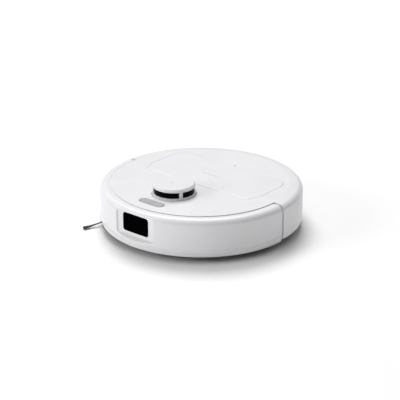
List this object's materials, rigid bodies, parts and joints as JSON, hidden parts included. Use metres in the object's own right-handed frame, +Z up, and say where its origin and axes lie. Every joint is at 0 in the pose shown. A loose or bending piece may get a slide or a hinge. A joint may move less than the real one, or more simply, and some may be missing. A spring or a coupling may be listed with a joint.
{
  "type": "robot vacuum",
  "caption": "Low round robot vacuum with a laser turret, sprung half-round bumper, hinged lid, side brush and driven wheels.",
  "frame": {"origin": "middle of the round body, on the floor it stands on", "axes": "+Z up, the front with the sensor window faces -Y, the robot's left side is +X"},
  "size_m": [0.35, 0.35, 0.0965],
  "materials": {
    "white_shell": "smooth satin white shell",
    "black_gloss": "polished black window",
    "smoky_band": "polished smoky band",
    "grey_button": "satin grey",
    "dark_base": "fine grained",
    "dark_trim": "fine grained",
    "inner_grey": "as moulded",
    "sensor_black": "matt",
    "bin_clear": "smoky moulded",
    "bin_grey": "fine grained",
    "filter_white": "folded paper in a plain frame",
    "battery_blue": "shrink wrap over cells",
    "board_green": "solder mask",
    "belt_rubber": "smooth rubber",
    "brush_grey": "soft rubber fins and bristles",
    "bristle_dark": "bristle tufts on soft arms",
    "tyre_black": "ribbed tread",
    "hub_grey": "as moulded",
    "motor_steel": "plated can",
    "bright_steel": "bright",
    "switch_red": "gloss"
  },
  "bodies": {
    "chassis": {"chassis_base": "dark_base", "top_housing": "white_shell", "camera_module": "sensor_black", "lid_hinge_pins": "bright_steel", "turret_base": "white_shell", "turret_window": "smoky_band", "turret_cap": "white_shell", "lidar_motor": "motor_steel", "lidar_belt": "belt_rubber", "button_bezel": "grey_button", "button_board": "board_green", "dust_bin": "bin_clear", "bin_cover": "bin_grey", "bin_handle": "bin_grey", "filter_frame": "filter_white", "filter_pleats": "filter_white", "fan_housing": "dark_trim", "fan_motor": "motor_steel", "battery_pack": "battery_blue", "battery_cover": "dark_base", "main_board": "board_green", "brush_housing": "dark_trim", "brush_guard": "dark_trim", "brush_motor": "motor_steel", "brush_belt": "belt_rubber", "side_brush_motor": "dark_trim", "caster_socket": "dark_trim", "cliff_sensors": "black_gloss", "charge_contacts": "bright_steel", "speaker": "sensor_black", "screws": "bright_steel"},
    "bumper": {"bumper": "white_shell", "front_window": "black_gloss"},
    "bumper_lever_left": {"bumper_lever_left": "inner_grey"},
    "bumper_lever_right": {"bumper_lever_right": "inner_grey"},
    "lid": {"lid": "white_shell"},
    "lidar_rotor": {"lidar_rotor": "sensor_black"},
    "lidar_pulley": {"lidar_pulley": "inner_grey"},
    "left_button": {"left_button": "grey_button"},
    "right_button": {"right_button": "grey_button"},
    "power_switch": {"power_switch": "switch_red"},
    "impeller": {"impeller": "inner_grey"},
    "main_brush": {"main_brush": "brush_grey", "brush_pulley": "inner_grey"},
    "motor_pulley": {"motor_pulley": "inner_grey"},
    "side_brush": {"side_brush": "bristle_dark", "side_brush_screw": "bright_steel"},
    "caster_fork": {"caster_fork": "dark_trim"},
    "caster_wheel": {"caster_wheel": "tyre_black"},
    "left_arm": {"left_wheel_arm": "hub_grey", "left_wheel_motor": "motor_steel", "left_wheel_spring": "bright_steel"},
    "left_wheel": {"left_wheel_hub": "hub_grey", "left_wheel_tyre": "tyre_black"},
    "right_arm": {"right_wheel_arm": "hub_grey", "right_wheel_motor": "motor_steel", "right_wheel_spring": "bright_steel"},
    "right_wheel": {"right_wheel_hub": "hub_grey", "right_wheel_tyre": "tyre_black"}
  },
  "joints": [
    {"name": "bumper_press", "type": "slide", "parent": "chassis", "child": "bumper", "axis": [0, 1, 0], "range_m": [0, 0.0025], "stiffness_N_per_m": 600, "springref_m": -0.002},
    {"name": "left_lever_turn", "type": "hinge", "parent": "chassis", "child": "bumper_lever_left", "pos_m": [0.046, -0.148, 0.045], "axis": [0, 0, 1], "range_deg": [0, 7.2]},
    {"name": "right_lever_turn", "type": "hinge", "parent": "chassis", "child": "bumper_lever_right", "pos_m": [-0.046, -0.148, 0.045], "axis": [0, 0, -1], "range_deg": [0, 7.2]},
    {"name": "lid_hinge", "type": "hinge", "parent": "chassis", "child": "lid", "pos_m": [0, -0.0135, 0.0755], "axis": [1, 0, 0], "range_deg": [0, 80]},
    {"name": "lidar_spin", "type": "hinge", "parent": "chassis", "child": "lidar_rotor", "pos_m": [0, -0.0705, 0.078], "axis": [0, 0, 1], "continuous": true},
    {"name": "lidar_pulley_spin", "type": "hinge", "parent": "chassis", "child": "lidar_pulley", "pos_m": [0.046, -0.0705, 0.069], "axis": [0, 0, 1], "continuous": true},
    {"name": "left_button_press", "type": "slide", "parent": "chassis", "child": "left_button", "axis": [0, 0, -1], "range_m": [0, 0.0007], "stiffness_N_per_m": 400, "springref_m": -0.0008},
    {"name": "right_button_press", "type": "slide", "parent": "chassis", "child": "right_button", "axis": [0, 0, -1], "range_m": [0, 0.0007], "stiffness_N_per_m": 400, "springref_m": -0.0008},
    {"name": "power_switch_rock", "type": "hinge", "parent": "chassis", "child": "power_switch", "pos_m": [-0.104, 0.066, 0.0705], "axis": [1, 0, 0], "range_deg": [0, 12]},
    {"name": "impeller_spin", "type": "hinge", "parent": "chassis", "child": "impeller", "pos_m": [0.07, 0.062, 0.044], "axis": [1, 0, 0], "continuous": true},
    {"name": "main_brush_spin", "type": "hinge", "parent": "chassis", "child": "main_brush", "pos_m": [0, -0.02, 0.0235], "axis": [1, 0, 0], "continuous": true},
    {"name": "motor_pulley_spin", "type": "hinge", "parent": "chassis", "child": "motor_pulley", "pos_m": [0.078, -0.01, 0.0602], "axis": [1, 0, 0], "continuous": true},
    {"name": "side_brush_spin", "type": "hinge", "parent": "chassis", "child": "side_brush", "pos_m": [-0.108, -0.095, 0.008], "axis": [0, 0, 1], "continuous": true},
    {"name": "caster_swivel", "type": "hinge", "parent": "chassis", "child": "caster_fork", "pos_m": [0, -0.122, 0.03], "axis": [0, 0, 1], "continuous": true},
    {"name": "caster_spin", "type": "hinge", "parent": "caster_fork", "child": "caster_wheel", "pos_m": [0, -0.116, 0.013], "axis": [1, 0, 0], "continuous": true},
    {"name": "left_arm_swing", "type": "hinge", "parent": "chassis", "child": "left_arm", "pos_m": [0.098, -0.06, 0.036], "axis": [-1, 0, 0], "range_deg": [0, 14], "stiffness_Nm_per_rad": 0.7, "springref_deg": 42.97},
    {"name": "left_wheel_spin", "type": "hinge", "parent": "left_arm", "child": "left_wheel", "pos_m": [0.116, 0.006, 0.033], "axis": [1, 0, 0], "continuous": true},
    {"name": "right_arm_swing", "type": "hinge", "parent": "chassis", "child": "right_arm", "pos_m": [-0.098, -0.06, 0.036], "axis": [-1, 0, 0], "range_deg": [0, 14], "stiffness_Nm_per_rad": 0.7, "springref_deg": 42.97},
    {"name": "right_wheel_spin", "type": "hinge", "parent": "right_arm", "child": "right_wheel", "pos_m": [-0.116, 0.006, 0.033], "axis": [1, 0, 0], "continuous": true}
  ],
  "couplings": [
    {"joint": "left_lever_turn", "follows": "bumper_press", "rad_per_m": 50.215},
    {"joint": "right_lever_turn", "follows": "bumper_press", "rad_per_m": 50.215},
    {"joint": "lidar_pulley_spin", "follows": "lidar_spin", "ratio": 4.74},
    {"joint": "motor_pulley_spin", "follows": "main_brush_spin", "ratio": 1.5}
  ]
}
